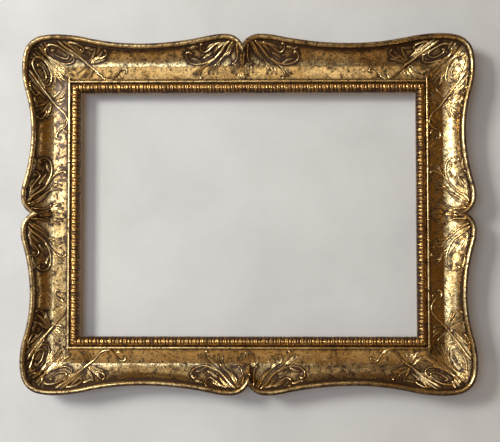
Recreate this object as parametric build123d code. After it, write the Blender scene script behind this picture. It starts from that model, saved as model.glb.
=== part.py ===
from build123d import *
import math
import os

# Wall-hung gilded picture frame: four mitred scoop mouldings with a serpentine outer edge,
# glued on a half-lapped back frame, with a leaf-tip sight strip, ring hangers and turn buttons.
# Everything is drawn about the centre of the picture opening, with the wall plane at depth 0.
# Rail coordinates: X runs along the rail, Y outwards from the sight edge, Z from the wall to the viewer.

# Overall sizes, in millimetres
sight_width = 600.0
sight_height = 436.0
rail_width = 100.0
frame_depth = 52.0

# Serpentine outline of a rail
corner_radius = 40.0
shoulder_radius = 120.0
shoulder_angle = 12.0
dip_depth = 17.0
corner_swell_share = 0.37
lobe_swell_share = 0.21
lobe_radius = 35.0
notch_angle = 59.0
notch_shift = {"top": -10.0, "bottom": 0.0, "left": 0.0, "right": 0.0}

# Moulding section, from the outer edge to the sight strip
rim_width = 9.0
rim_outer_angle = 35.0
rim_inner_angle = 15.0
quirk_width = 1.5
quirk_depth = 1.0
hollow_line = 48.0
hollow_floor = 5.0
fillet_width = 5.0
fillet_rise = 2.5
fillet_foot_rise = 6.5
fillet_edge_drop = 1.5
fan_decay = 4
sections_per_arc = 3
sections_per_lobe = 6

# Sight strip with its row of leaf tips
strip_width = 17.0
strip_lip = 4.0
strip_height = 12.0
strip_shoulder = 2.0
ledge_relief = 1.0
ledge_clearance = 0.3
leaf_pitch = 6.8
leaf_dart_width = 4.2
leaf_dart_depth = 1.6
leaf_dart_rise = 2.5

# Back frame
back_thickness = 20.0
rabbet_width = 8.0
relief_depth = 6.0
back_inset = 22.0

# Wooden pegs in the corner laps
peg_diameter = 8.0
peg_inset = 16.0
peg_clearance = 0.05

# Brads that pin the sight strips
brad_diameter = 1.4
brad_length = 20.0
brad_line = 12.5
brad_cover = 1.5
brad_spacing = 200.0
brad_clearance = 0.05

# Strap hangers with swinging rings
hanger_spacing = 400.0
strap_width = 12.0
strap_length = 17.0
strap_thickness = 1.2
strap_inset = 4.0
barrel_wall = 1.2
ring_wire = 2.4
ring_inside_width = 20.0
ring_inside_length = 18.0
ring_corner_radius = 3.0
ring_clearance = 0.07
ring_room = 3.4

# Turn buttons
button_length = 34.0
button_width = 11.0
button_thickness = 2.0
button_pivot_inset = 14.0
button_gap = 0.2
button_clearance = 0.08
button_to_hanger = 50.0

# Round-head wood screws for the hangers and the turn buttons
screw_shank = 3.0
screw_head = 6.4
screw_head_height = 2.0
screw_bite = 12.0
screw_slot_width = 0.9
screw_slot_depth = 0.9
screw_clearance = 0.05

# Values that follow from the sizes above
ring_reach = ring_inside_length + 1.5 * ring_wire
relief_width = strap_inset + strap_length + ring_reach + ring_room
back_width = rail_width - back_inset - rabbet_width
wall_band = back_width - relief_width
wall_band_line = rabbet_width + relief_width + wall_band / 2
button_offset = hanger_spacing / 2 - button_to_hanger
origin_height = sight_height / 2 + wall_band_line
hollow_depth = back_thickness + hollow_floor
rim_radius = rim_width / 2
rim_centre = frame_depth - rim_radius
cove_top = rim_centre - rim_radius * math.sin(math.radians(rim_inner_angle)) - quirk_depth
strip_top = back_thickness + strip_height
strip_lip_front = back_thickness + ledge_relief + strip_lip
fillet_foot = hollow_depth + fillet_foot_rise
fillet_top = fillet_foot + fillet_rise
sides = {"top": 0, "right": 90, "bottom": 180, "left": 270}


def sight_length(side):
    return sight_width if side in ("top", "bottom") else sight_height


def place(side):
    """Rail coordinates of one side to the hung frame, about the centre of the opening."""
    across = sight_height if side in ("top", "bottom") else sight_width
    return Rot(0, sides[side], 0) * Pos(0, 0, across / 2) * Rot(90, 0, 0)


# Moulding

def outline_arcs(length, notch):
    """Tangent arcs of the right half of a rail's outer edge, from the mitre to the centre notch."""
    shoulder = math.radians(shoulder_angle)
    diagonal = math.radians(45)
    corner_drop = corner_radius * (math.cos(shoulder) - math.cos(diagonal))
    corner_run = corner_radius * (math.sin(diagonal) - math.sin(shoulder))
    mitre_inset = corner_drop + shoulder_radius * (1 - math.cos(shoulder))
    start = (length / 2 + rail_width - mitre_inset, rail_width - mitre_inset)
    corner_crest = start[0] - corner_run - shoulder_radius * math.sin(shoulder)
    lobe_crest = notch + lobe_radius * math.sin(math.radians(notch_angle))
    dip_run = (corner_crest - lobe_crest) / 2
    turn = 2 * math.degrees(math.atan2(dip_depth, dip_run))
    radii = dip_run / math.sin(math.radians(turn))
    steps = [
        (corner_radius, 45 - shoulder_angle),
        (shoulder_radius, shoulder_angle),
        (radii * corner_swell_share, turn),
        (radii * (1 - corner_swell_share), -turn),
        (radii * (1 - lobe_swell_share), -turn),
        (radii * lobe_swell_share, turn),
        (lobe_radius, notch_angle),
    ]
    arcs = []
    point, heading = Vector(*start), Vector(-1, 1)
    for radius, angle in steps:
        arc = JernArc(point, heading, radius, angle)
        arcs.append(arc)
        point, heading = arc @ 1, arc % 1
    return arcs


def scoop_middle(start_y, start_z, end_y, end_z):
    """Half-way point of the circular scoop that leaves the hollow level and climbs to its edge."""
    run, rise = end_y - start_y, end_z - start_z
    radius = (run**2 + rise**2) / (2 * rise)
    half_turn = math.atan2(rise, abs(run))
    return (
        start_y + math.copysign(radius * math.sin(half_turn), run),
        start_z + radius * (1 - math.cos(half_turn)),
    )


def moulding_section(edge, heading, foot_x):
    """Closed section of the moulding from a point of the outer edge to the sight strip."""
    foot = Vector(foot_x, strip_width)
    line = foot - edge
    inward = Vector(-heading.Y, heading.X)
    stretch = abs(line.Y) / line.dot(inward)

    def at(y, z):
        share = (edge.Y - y) / (edge.Y - strip_width)
        return (edge.X + line.X * share, y, z)

    def on_rim(angle):
        turn = math.radians(angle)
        y = edge.Y - stretch * rim_radius * (1 - math.cos(turn))
        return at(y, rim_centre + rim_radius * math.sin(turn))

    cove_edge = edge.Y - stretch * (rim_width + quirk_width)
    fillet_edge = strip_width + fillet_width
    outer_middle = scoop_middle(hollow_line, hollow_depth, cove_edge, cove_top)
    inner_middle = scoop_middle(hollow_line, hollow_depth, fillet_edge, fillet_foot)
    rim_foot = on_rim(-rim_outer_angle)
    rim_inside = on_rim(180 + rim_inner_angle)
    back_outer = (rim_foot[0], rim_foot[1], back_thickness)
    cove_start = at(cove_edge, cove_top)
    hollow = at(hollow_line, hollow_depth)
    fillet_start = at(fillet_edge, fillet_foot)
    fillet_crown = at(strip_width + fillet_width / 2, fillet_top)
    fillet_end = at(strip_width, fillet_top - fillet_edge_drop)
    back_inner = at(strip_width, back_thickness)
    return Face(
        Wire(
            [
                Line(back_outer, rim_foot),
                ThreePointArc(rim_foot, on_rim(90), rim_inside),
                Line(rim_inside, cove_start),
                ThreePointArc(cove_start, at(*outer_middle), hollow),
                ThreePointArc(hollow, at(*inner_middle), fillet_start),
                ThreePointArc(fillet_start, fillet_crown, fillet_end),
                Line(fillet_end, back_inner),
                Line(back_inner, back_outer),
            ]
        )
    )


def moulding_half(length, notch):
    """Right half of a moulding, lofted from its mitre face to the plane of the centre notch."""
    arcs = outline_arcs(length, notch)
    mitre_edge = arcs[0] @ 0
    mitre_foot = length / 2 + strip_width
    dip = arcs[3] @ 1
    sections = []
    for number, arc in enumerate(arcs):
        is_lobe = number == len(arcs) - 1
        count = sections_per_lobe if is_lobe else sections_per_arc
        for step in range(count + 1 if is_lobe else count):
            share = step / count
            edge = arc @ share
            travelled = (mitre_edge.X - edge.X) / (mitre_edge.X - dip.X)
            lean = (mitre_edge.X - mitre_foot) * max(0.0, 1 - travelled) ** fan_decay
            sections.append(moulding_section(edge, arc % share, edge.X - lean))
    return loft(sections, ruled=True)


def moulding(side):
    notch = notch_shift[side]
    right = moulding_half(sight_length(side), notch)
    left = mirror(moulding_half(sight_length(side), -notch), about=Plane.YZ)
    return place(side) * (right + left)


# Sight strip

def strip_section():
    """Closed section of the sight strip in rail coordinates, in the plane across the rail."""
    ledge = back_thickness + ledge_relief
    ledge_end = rabbet_width - ledge_clearance
    points = {
        "lip_back": (0, 0, ledge),
        "lip_front": (0, 0, strip_lip_front),
        "crown": (0, strip_width - strip_shoulder, strip_top),
        "shoulder": (0, strip_width, strip_top - strip_shoulder),
        "seat_outer": (0, strip_width, back_thickness),
        "seat_inner": (0, ledge_end, back_thickness),
        "ledge_inner": (0, ledge_end, ledge),
    }
    return Face(
        Wire(
            [
                Line(points["lip_back"], points["lip_front"]),
                TangentArc(points["crown"], points["lip_front"], tangent=(0, -1, 0)),
                Line(points["crown"], points["shoulder"]),
                Line(points["shoulder"], points["seat_outer"]),
                Line(points["seat_outer"], points["seat_inner"]),
                Line(points["seat_inner"], points["ledge_inner"]),
                Line(points["ledge_inner"], points["lip_back"]),
            ]
        )
    )


def mitre_wedge(length):
    """Everything between the two mitre planes of a rail."""
    reach = rail_width
    outline = Polyline(
        (-length / 2, 0),
        (length / 2, 0),
        (length / 2 + reach, reach),
        (-length / 2 - reach, reach),
        close=True,
    )
    return extrude(make_face(outline), frame_depth)


def leaf_dart():
    """Pointed cut between two leaf tips, widest at the sight edge and dying out at the crown."""
    root = strip_lip_front - leaf_dart_depth
    mouth = Face(
        Wire(
            Polyline(
                (0, 0, root),
                (leaf_dart_width / 2, 0, root + leaf_dart_depth + leaf_dart_rise),
                (-leaf_dart_width / 2, 0, root + leaf_dart_depth + leaf_dart_rise),
                close=True,
            )
        )
    )
    return loft([mouth, Vertex(0, strip_width - strip_shoulder, strip_top)])


def leaf_dart_places(length):
    count = int(length / leaf_pitch)
    return [(number - (count - 1) / 2) * leaf_pitch for number in range(count)]


def brad_places(side):
    length = sight_length(side)
    count = round(length / brad_spacing)
    return [length * ((number + 0.5) / count - 0.5) for number in range(count)]


def brad_top():
    """Depth of the brads' punched heads, under the filled front of the strip."""
    return strip_top - strip_shoulder - brad_cover


def sight_strip(side):
    length = sight_length(side)
    run = length + 2 * strip_width
    bar = extrude(Pos(-run / 2, 0, 0) * strip_section(), run, dir=(1, 0, 0))
    dart = leaf_dart()
    bar = bar & mitre_wedge(length)
    bar = bar - [Pos(x, 0, 0) * dart for x in leaf_dart_places(length)]
    for x in brad_places(side):
        hole = Cylinder(
            brad_diameter / 2 + brad_clearance,
            brad_top() - back_thickness,
            align=(Align.CENTER, Align.CENTER, Align.MIN),
        )
        bar = bar - Pos(x, brad_line, back_thickness) * hole
    return place(side) * bar


def brads():
    pins = []
    for side in sides:
        for x in brad_places(side):
            pin = Cylinder(
                brad_diameter / 2, brad_length, align=(Align.CENTER, Align.CENTER, Align.MAX)
            )
            pins.append(place(side) * Pos(x, brad_line, brad_top()) * pin)
    return pins


# Back frame

def slab(length, width, height, corner):
    """Box given by its size and its lowest corner."""
    return Pos(*corner) * Box(length, width, height, align=(Align.MIN, Align.MIN, Align.MIN))


def relief():
    """Shallow recess in the back that keeps the hardware clear of the wall."""
    margin = rabbet_width + relief_width
    return Pos(0, -relief_depth / 2, 0) * Box(
        sight_width + 2 * margin, relief_depth, sight_height + 2 * margin
    )


def peg_places():
    """Centres of the pegs, two in each corner lap, as X and Z about the centre of the opening."""
    near = rabbet_width + peg_inset
    for x_sign in (-1, 1):
        for z_sign in (-1, 1):
            for x_inset, z_inset in ((near, wall_band_line), (wall_band_line, near)):
                yield x_sign * (sight_width / 2 + x_inset), z_sign * (sight_height / 2 + z_inset)


def peg(x, z, diameter):
    return Pos(x, 0, z) * Rot(90, 0, 0) * Cylinder(
        diameter / 2, back_thickness, align=(Align.CENTER, Align.CENTER, Align.MIN)
    )


def back_member(side):
    """One member of the half-lapped back frame, with its holes."""
    length = sight_length(side) + 2 * (rabbet_width + back_width)
    bar = slab(length, back_width, back_thickness, (-length / 2, rabbet_width, 0))
    lap_depth = 0 if side in ("left", "right") else back_thickness / 2
    for corner_x in (-length / 2, length / 2 - back_width):
        bar = bar - slab(back_width, back_width, back_thickness / 2, (corner_x, rabbet_width, lap_depth))
    bar = place(side) * bar - relief()
    for x, z in peg_places():
        bar = bar - peg(x, z, peg_diameter + 2 * peg_clearance)
    for x in brad_places(side):
        depth = back_thickness - (brad_top() - brad_length)
        hole = Cylinder(
            brad_diameter / 2 + brad_clearance, depth, align=(Align.CENTER, Align.CENTER, Align.MAX)
        )
        bar = bar - place(side) * Pos(x, brad_line, back_thickness) * hole
    for screw_side, x, y in screw_places():
        if screw_side == side:
            bar = bar - place(side) * Pos(x, y, relief_depth) * screw_hole()
    return bar


# Screws, turn buttons and hangers, in rail coordinates on the recessed back

def hanger_pivot():
    """Distance of the ring's hinge line from the sight edge."""
    return rabbet_width + strap_inset + strap_length


def hanger_screw_line():
    return rabbet_width + strap_inset + strap_width / 2


def button_places():
    return {
        "top_left": ("top", -button_offset),
        "top_right": ("top", button_offset),
        "bottom_left": ("bottom", button_offset),
        "bottom_right": ("bottom", -button_offset),
        "left": ("left", 0.0),
        "right": ("right", 0.0),
    }


def button_line():
    return rabbet_width + button_pivot_inset


def screw_places():
    """Side, place along the rail and distance from the sight edge of every screw."""
    for x in (-hanger_spacing / 2, hanger_spacing / 2):
        yield "top", x, hanger_screw_line()
    for side, x in button_places().values():
        yield side, x, button_line()


def screw_hole():
    return Cylinder(
        screw_shank / 2 + screw_clearance, screw_bite, align=(Align.CENTER, Align.CENTER, Align.MIN)
    )


def screw(side, x, y, under_head):
    """Round-head screw whose head bears on a piece of the given thickness over the wood."""
    seat = relief_depth - under_head
    shank = Cylinder(
        screw_shank / 2, under_head + screw_bite, align=(Align.CENTER, Align.CENTER, Align.MIN)
    )
    dome_radius = ((screw_head / 2) ** 2 + screw_head_height**2) / (2 * screw_head_height)
    dome = Pos(0, 0, dome_radius - screw_head_height) * Sphere(dome_radius)
    half = screw_head / 2
    head = dome & slab(screw_head, screw_head, screw_head_height, (-half, -half, -screw_head_height))
    slot_corner = (-screw_slot_width / 2, -half, -screw_head_height)
    slot = slab(screw_slot_width, screw_head, screw_slot_depth, slot_corner)
    return place(side) * Pos(x, y, seat) * (shank + head - slot)


def turn_button(side, x):
    """Flat brass button stowed along the rail, with one round end about its screw."""
    end_radius = button_width / 2
    blade_length = button_length - button_width
    blade = Pos(blade_length / 2, 0) * SlotCenterToCenter(blade_length, button_width)
    hole = Circle(screw_shank / 2 + button_clearance)
    plate = extrude(blade - hole, button_thickness)
    tip = plate.edges().filter_by(Axis.Z, reverse=True).group_by(Axis.Z)[0]
    tip = [edge for edge in tip if edge.length > math.pi * screw_shank + end_radius]
    plate = chamfer(tip, button_thickness / 4)
    return place(side) * Pos(x, button_line(), relief_depth - button_gap - button_thickness) * plate


def barrel_radius():
    return ring_wire / 2 + ring_clearance + barrel_wall


def hanger_strap(x):
    """Brass strap with its end rolled into a barrel for the ring."""
    bore = ring_wire / 2 + ring_clearance
    outer = barrel_radius()
    plate = slab(
        strap_width, strap_length, strap_thickness, (-strap_width / 2, 0, relief_depth - strap_thickness)
    )
    end = plate.edges().filter_by(Axis.Z).group_by(Axis.Y)[0]
    plate = fillet(end, strap_width / 3)
    axis = Pos(0, strap_length, relief_depth - outer) * Rot(0, 90, 0)
    strap = plate + axis * Cylinder(outer, strap_width) - axis * Cylinder(bore, 2 * strap_width)
    hole_line = hanger_screw_line() - rabbet_width - strap_inset
    strap = strap - Pos(0, hole_line, 0) * Cylinder(screw_shank / 2 + screw_clearance, 2 * relief_depth)
    return place("top") * Pos(x, rabbet_width + strap_inset, 0) * strap


def hanger_ring(x):
    """Bent-wire ring, standing up from its barrel as it hangs on a hook."""
    radius = ring_wire / 2
    half_width = ring_inside_width / 2 + radius
    bow_line = ring_inside_length + ring_wire - half_width
    corner = ring_corner_radius + radius
    leg = Rot(0, 90, 0) * Cylinder(radius, 2 * (half_width - corner))
    bend = revolve(Pos(corner, 0, 0) * Plane.XZ * Circle(radius), Axis.Z, -90)
    side_leg = Rot(90, 0, 0) * Cylinder(radius, bow_line - corner)
    bow = revolve(Pos(half_width, 0, 0) * Plane.XZ * Circle(radius), Axis.Z, 180)
    side_line = (corner + bow_line) / 2
    half = Pos(half_width - corner, corner, 0) * bend + Pos(half_width, side_line, 0) * side_leg
    ring = leg + half + mirror(half, about=Plane.YZ) + Pos(0, bow_line, 0) * bow
    return place("top") * Pos(x, hanger_pivot(), relief_depth - barrel_radius()) * ring


# Assembly

def build():
    nodes = {}
    for side in sides:
        nodes[f"moulding_{side}"] = moulding(side)
        nodes[f"sight_strip_{side}"] = sight_strip(side)
    nodes["back_rail_top"] = back_member("top")
    nodes["back_rail_bottom"] = back_member("bottom")
    nodes["back_stile_left"] = back_member("left")
    nodes["back_stile_right"] = back_member("right")
    nodes["lap_pegs"] = [peg(x, z, peg_diameter) for x, z in peg_places()]
    nodes["sight_strip_brads"] = brads()
    hanger_x = {"left": -hanger_spacing / 2, "right": hanger_spacing / 2}
    for name, x in hanger_x.items():
        nodes[f"hanger_strap_{name}"] = hanger_strap(x)
        nodes[f"hanger_ring_{name}"] = hanger_ring(x)
    nodes["hanger_screws"] = [
        screw("top", x, hanger_screw_line(), strap_thickness) for x in hanger_x.values()
    ]
    for name, (side, x) in button_places().items():
        nodes[f"turn_button_{name}"] = turn_button(side, x)
    nodes["turn_button_screws"] = [
        screw(side, x, button_line(), button_thickness + 2 * button_gap)
        for side, x in button_places().values()
    ]
    return nodes


os.makedirs("parts", exist_ok=True)
for name, piece in build().items():
    solids = piece if isinstance(piece, list) else piece.solids()
    hung = [Pos(0, 0, -origin_height) * solid for solid in solids]
    shape = hung[0] if len(hung) == 1 else Compound(children=hung)
    export_step(shape, f"parts/{name}.step")
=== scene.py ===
import math

import bmesh
import bpy
import numpy as np
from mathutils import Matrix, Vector


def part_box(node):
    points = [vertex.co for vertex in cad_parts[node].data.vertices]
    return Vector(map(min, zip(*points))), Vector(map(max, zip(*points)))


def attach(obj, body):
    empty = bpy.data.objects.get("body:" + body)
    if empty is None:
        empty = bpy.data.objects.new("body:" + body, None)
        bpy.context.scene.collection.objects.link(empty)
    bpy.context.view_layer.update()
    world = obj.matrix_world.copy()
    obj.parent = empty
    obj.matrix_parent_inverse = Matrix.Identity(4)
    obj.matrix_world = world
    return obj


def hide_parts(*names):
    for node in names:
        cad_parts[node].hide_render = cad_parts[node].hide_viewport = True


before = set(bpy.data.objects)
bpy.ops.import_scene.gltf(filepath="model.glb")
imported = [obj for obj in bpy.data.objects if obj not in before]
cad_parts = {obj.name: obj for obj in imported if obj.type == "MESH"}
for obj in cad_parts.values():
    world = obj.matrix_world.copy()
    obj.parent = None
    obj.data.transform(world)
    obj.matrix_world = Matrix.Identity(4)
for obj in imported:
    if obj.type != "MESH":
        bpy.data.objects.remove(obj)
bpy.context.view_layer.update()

scene = bpy.context.scene
scene.view_settings.view_transform = "Standard"
perMetre = 1000  # millimetres
weldGap = 1e-6  # metres, grid points closer than this are joined

# Opening, read from the sight strips, in millimetres
stripBox = {side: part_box("sight_strip_" + side) for side in ("top", "bottom", "left", "right")}
sightTop = stripBox["top"][0].z * perMetre
sightBottom = stripBox["bottom"][1].z * perMetre
sightLeft = stripBox["left"][1].x * perMetre
sightRight = stripBox["right"][0].x * perMetre
openingHeight = (sightTop + sightBottom) / 2  # height of the opening's centre
sightWidth = sightRight - sightLeft
sightHeight = sightTop - sightBottom
print("opening", round(sightWidth, 2), "x", round(sightHeight, 2), "mm")

# The four rails: x runs along a rail, t outwards from the sight edge, depth out from the wall
# Per rail: painted shade on the inner scoop, the outer scoop and the rim, painted light where a value is
# below nought, a drift that lets the inner shade grow along the rail, and dirt with painted shade lying
# wide around the carving
rails = {
    "top": {
        "turn": 0, "notch": -10.0, "seed": 11,
        "sideShading": (-0.06, 0.15, 0.1), "shadeDrift": 0.0, "dirtAndShade": 0.75,
    },
    "right": {
        "turn": 90, "notch": 0.0, "seed": 23,
        "sideShading": (0.1, 0.0, 0.5), "shadeDrift": 0.0, "dirtAndShade": 0.1,
    },
    "bottom": {
        "turn": 180, "notch": 0.0, "seed": 37,
        "sideShading": (-0.12, 0.35, 0.45), "shadeDrift": 0.0, "dirtAndShade": 0.25,
    },
    "left": {
        "turn": 270, "notch": 0.0, "seed": 41,
        "sideShading": (0.4, -0.03, 0.0), "shadeDrift": 0.3, "dirtAndShade": 0.7,
    },
}
for rail in rails.values():
    isLevel = rail["turn"] % 180 == 0
    rail["length"] = sightWidth if isLevel else sightHeight
    rail["across"] = sightHeight if isLevel else sightWidth


def toRow(side, x, t, depth):  # rail millimetres to the hung frame's metres
    rail = rails[side]
    angle = math.radians(rail["turn"])
    out = rail["across"] / 2 + t
    row = np.empty(np.shape(x) + (3,))
    row[..., 0] = x * math.cos(angle) + out * math.sin(angle)
    row[..., 1] = -depth
    row[..., 2] = out * math.cos(angle) - x * math.sin(angle) + openingHeight
    return row / perMetre


def smoothStep(low, high, value):
    share = np.clip((value - low) / (high - low), 0, 1)
    return share * share * (3 - 2 * share)


# Moulding: outline and section in millimetres and degrees, the same curves as the wood under the gilding
moulding = {
    "railWidth": 100.0,
    "mitreAngle": 45,
    "cornerRadius": 40.0,
    "shoulderRadius": 120.0,
    "shoulderAngle": 12.0,
    "dipDepth": 17.0,
    "cornerSwell": 0.37,
    "lobeSwell": 0.21,
    "lobeRadius": 35.0,
    "notchAngle": 59.0,
    "fanDecay": 4,
    "rimRadius": 4.5,
    "rimCentre": 47.5,
    "rimOuterAngle": 35.0,
    "rimInnerAngle": 15.0,
    "quirkWidth": 1.5,
    "quirkDepth": 1.8,
    "coveDrop": 1.0,
    "hollowLine": 48.0,
    "hollowDepth": 25.0,
    "innerFlatness": 0.5,
    "outerFlatness": 0.2,
    "filletEdge": 22.0,
    "filletFoot": 31.5,
    "filletCrown": 34.0,
    "filletEnd": 32.5,
    "stripWidth": 17.0,
    "backDepth": 20.0,
    "rowStep": 1.25,
    "leastRows": 4,
    "rimPoints": 13,
    "outerPoints": 36,
    "innerPoints": 25,
    "filletPoints": 8,
    "quirkShares": (0.75, 0.35),
    "quirkEdge": 0.6,
}
coveTop = (
    moulding["rimCentre"]
    - moulding["rimRadius"] * math.sin(math.radians(moulding["rimInnerAngle"]))
    - moulding["coveDrop"]
)


def outlineHalf(length, notch):  # stations from the mitre to the notch, on the +X half
    m = moulding
    shoulder = math.radians(m["shoulderAngle"])
    diagonal = math.radians(m["mitreAngle"])
    drop = m["cornerRadius"] * (math.cos(shoulder) - math.cos(diagonal))
    run = m["cornerRadius"] * (math.sin(diagonal) - math.sin(shoulder))
    inset = drop + m["shoulderRadius"] * (1 - math.cos(shoulder))
    point = np.array([length / 2 + m["railWidth"] - inset, m["railWidth"] - inset])
    cornerCrest = point[0] - run - m["shoulderRadius"] * math.sin(shoulder)
    lobeCrest = notch + m["lobeRadius"] * math.sin(math.radians(m["notchAngle"]))
    dipRun = (cornerCrest - lobeCrest) / 2
    turn = 2 * math.degrees(math.atan2(m["dipDepth"], dipRun))
    radii = dipRun / math.sin(math.radians(turn))
    steps = (
        (m["cornerRadius"], m["mitreAngle"] - m["shoulderAngle"]),
        (m["shoulderRadius"], m["shoulderAngle"]),
        (radii * m["cornerSwell"], turn),
        (radii * (1 - m["cornerSwell"]), -turn),
        (radii * (1 - m["lobeSwell"]), -turn),
        (radii * m["lobeSwell"], turn),
        (m["lobeRadius"], m["notchAngle"]),
    )
    heading = math.radians(180 - m["mitreAngle"])
    edges, headings = [], []
    for radius, angle in steps:
        sweep = math.radians(angle)
        side = math.copysign(1, sweep)
        centre = point + side * radius * np.array([-math.sin(heading), math.cos(heading)])
        count = max(m["leastRows"], int(radius * abs(sweep) / m["rowStep"]))
        for number in range(count + 1):
            now = heading + sweep * number / count
            edges.append(centre + side * radius * np.array([math.sin(now), -math.cos(now)]))
            headings.append(now)
        heading += sweep
        point = edges[-1]
    edges = np.array(edges)
    meeting = 1e-6  # neighbouring arcs meet in one point, which is kept once
    keep = np.append(True, np.linalg.norm(np.diff(edges, axis=0), axis=1) > meeting)
    edges, headings = edges[keep], np.array(headings)[keep]
    dip = cornerCrest - dipRun
    travelled = (edges[0, 0] - edges[:, 0]) / (edges[0, 0] - dip)
    lean = edges[0, 0] - length / 2 - m["stripWidth"]
    feet = edges[:, 0] - lean * np.maximum(0, 1 - travelled) ** m["fanDecay"]
    inward = np.stack([-np.sin(headings), np.cos(headings)], axis=1)
    line = np.stack([feet - edges[:, 0], m["stripWidth"] - edges[:, 1]], axis=1)
    stretch = np.abs(line[:, 1]) / np.sum(line * inward, axis=1)
    rimWidth = 2 * m["rimRadius"] + m["quirkWidth"]
    return {"edge": edges, "foot": feet, "stretch": stretch, "cove": edges[:, 1] - stretch * rimWidth}


for rail in rails.values():
    rail["right"] = outlineHalf(rail["length"], rail["notch"])
    rail["left"] = outlineHalf(rail["length"], -rail["notch"])


def scoopRise(reach, run, rise, flatness):  # an arc that flattening leaves with a crease at the hollow
    radius = (run**2 + rise**2) / (2 * rise)
    reach = np.clip(reach, 0, run)
    arc = radius - np.sqrt(radius**2 - reach**2)
    return moulding["hollowDepth"] + arc + flatness * (rise * reach / run - arc)


def innerScoop(t):  # depth of the straight scoop between the hollow and the fillet
    m = moulding
    run, rise = m["hollowLine"] - m["filletEdge"], m["filletFoot"] - m["hollowDepth"]
    return scoopRise(m["hollowLine"] - t, run, rise, m["innerFlatness"])


def outerScoop(t, cove):  # depth of the scoop between the hollow and the rim
    m = moulding
    run, rise = cove - m["hollowLine"], coveTop - m["hollowDepth"]
    return scoopRise(t - m["hollowLine"], run, rise, m["outerFlatness"])


def scoopDepth(side, x, t):  # depth of the bare scoop at any place of a rail
    rail = rails[side]
    depth = np.empty(len(x))
    isRight = x >= rail["notch"]
    for half, chosen, sign in (("right", isRight, 1), ("left", ~isRight, -1)):
        if not chosen.any():
            continue
        stations = rail[half]
        edge, foot = stations["edge"], stations["foot"]
        hx, ht = sign * x[chosen], t[chosen]
        strip = moulding["stripWidth"]
        share = (edge[None, :, 1] - ht[:, None]) / (edge[None, :, 1] - strip)
        lineX = edge[None, :, 0] + (foot - edge[:, 0])[None, :] * share
        place = np.clip(np.sum(lineX > hx[:, None], axis=1), 1, len(foot) - 1)
        rows = np.arange(len(hx))
        before, after = lineX[rows, place - 1], lineX[rows, place]
        leastGap = 1e-9  # keeps two lines that cross from dividing by nothing
        blend = np.clip((before - hx) / np.maximum(before - after, leastGap), 0, 1)
        cove = stations["cove"][place - 1] * (1 - blend) + stations["cove"][place] * blend
        depth[chosen] = np.where(ht > moulding["hollowLine"], outerScoop(ht, cove), innerScoop(ht))
    return depth


# Broad modelling of the ground: channel and banks at the mitre, cartouche, bud
ground = {
    "channelDepth": 2.0,
    "channelWidth": 3.4,
    "channelStart": (24, 36),
    "channelEnd": (78, 88),
    "bankHeight": 1.5,
    "bankLine": 8.5,
    "bankWidth": 5.0,
    "cartouche": (-37.0, 68.0),
    "cartoucheHalf": (26.0, 13.0),
    "cartoucheLean": -24.0,
    "cartoucheHeight": 1.5,
    "cartoucheRound": 0.8,
    "budLine": 36.0,
    "budHalf": (9.0, 14.0),
    "budHeight": 1.6,
    "eye": (15.0, 73.0),
    "eyeRadius": 9.0,
    "eyeDepth": 1.2,
    "swellStart": (22, 25),
    "unevenness": 0.12,
    "wavesAlong": (0.071, 0.19),
    "wavesAcross": (0.13, 0.11),
    "wavesStart": (24, 30),
    "wavesMitre": (0, 20),
}


def groundSwell(side, x, t):
    rail, g = rails[side], ground
    fromNotch = np.abs(x - rail["notch"])
    fromCorner = rail["length"] / 2 - np.abs(x)
    mitre = np.abs(fromCorner + t) / math.sqrt(2)
    along = smoothStep(*g["channelStart"], t) * (1 - smoothStep(*g["channelEnd"], t))
    swell = -g["channelDepth"] * np.exp(-((mitre / g["channelWidth"]) ** 2)) * along
    swell += g["bankHeight"] * np.exp(-(((mitre - g["bankLine"]) / g["bankWidth"]) ** 2)) * along
    lean = math.radians(g["cartoucheLean"])
    u = fromCorner - g["cartouche"][0]
    v = t - g["cartouche"][1]
    ovalU = (u * math.cos(lean) + v * math.sin(lean)) / g["cartoucheHalf"][0]
    ovalV = (v * math.cos(lean) - u * math.sin(lean)) / g["cartoucheHalf"][1]
    swell += g["cartoucheHeight"] * np.clip(1 - ovalU**2 - ovalV**2, 0, 1) ** g["cartoucheRound"]
    bud = (fromNotch / g["budHalf"][0]) ** 2 + ((t - g["budLine"]) / g["budHalf"][1]) ** 2
    swell += g["budHeight"] * np.clip(1 - bud, 0, 1)
    eye = ((fromNotch - g["eye"][0]) ** 2 + (t - g["eye"][1]) ** 2) / g["eyeRadius"] ** 2
    swell -= g["eyeDepth"] * np.exp(-eye)
    longAlong, shortAlong = g["wavesAlong"]
    longAcross, shortAcross = g["wavesAcross"]
    waves = np.sin(x * longAlong + rail["seed"]) * np.sin(t * longAcross)
    waves = waves + np.sin(x * shortAlong + t * shortAcross)
    inside = smoothStep(*g["wavesStart"], t) * smoothStep(*g["wavesMitre"], mitre)
    return swell + g["unevenness"] * waves * inside


def groundDepth(side, x, t):
    return scoopDepth(side, x, t) + groundSwell(side, x, t)


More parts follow.
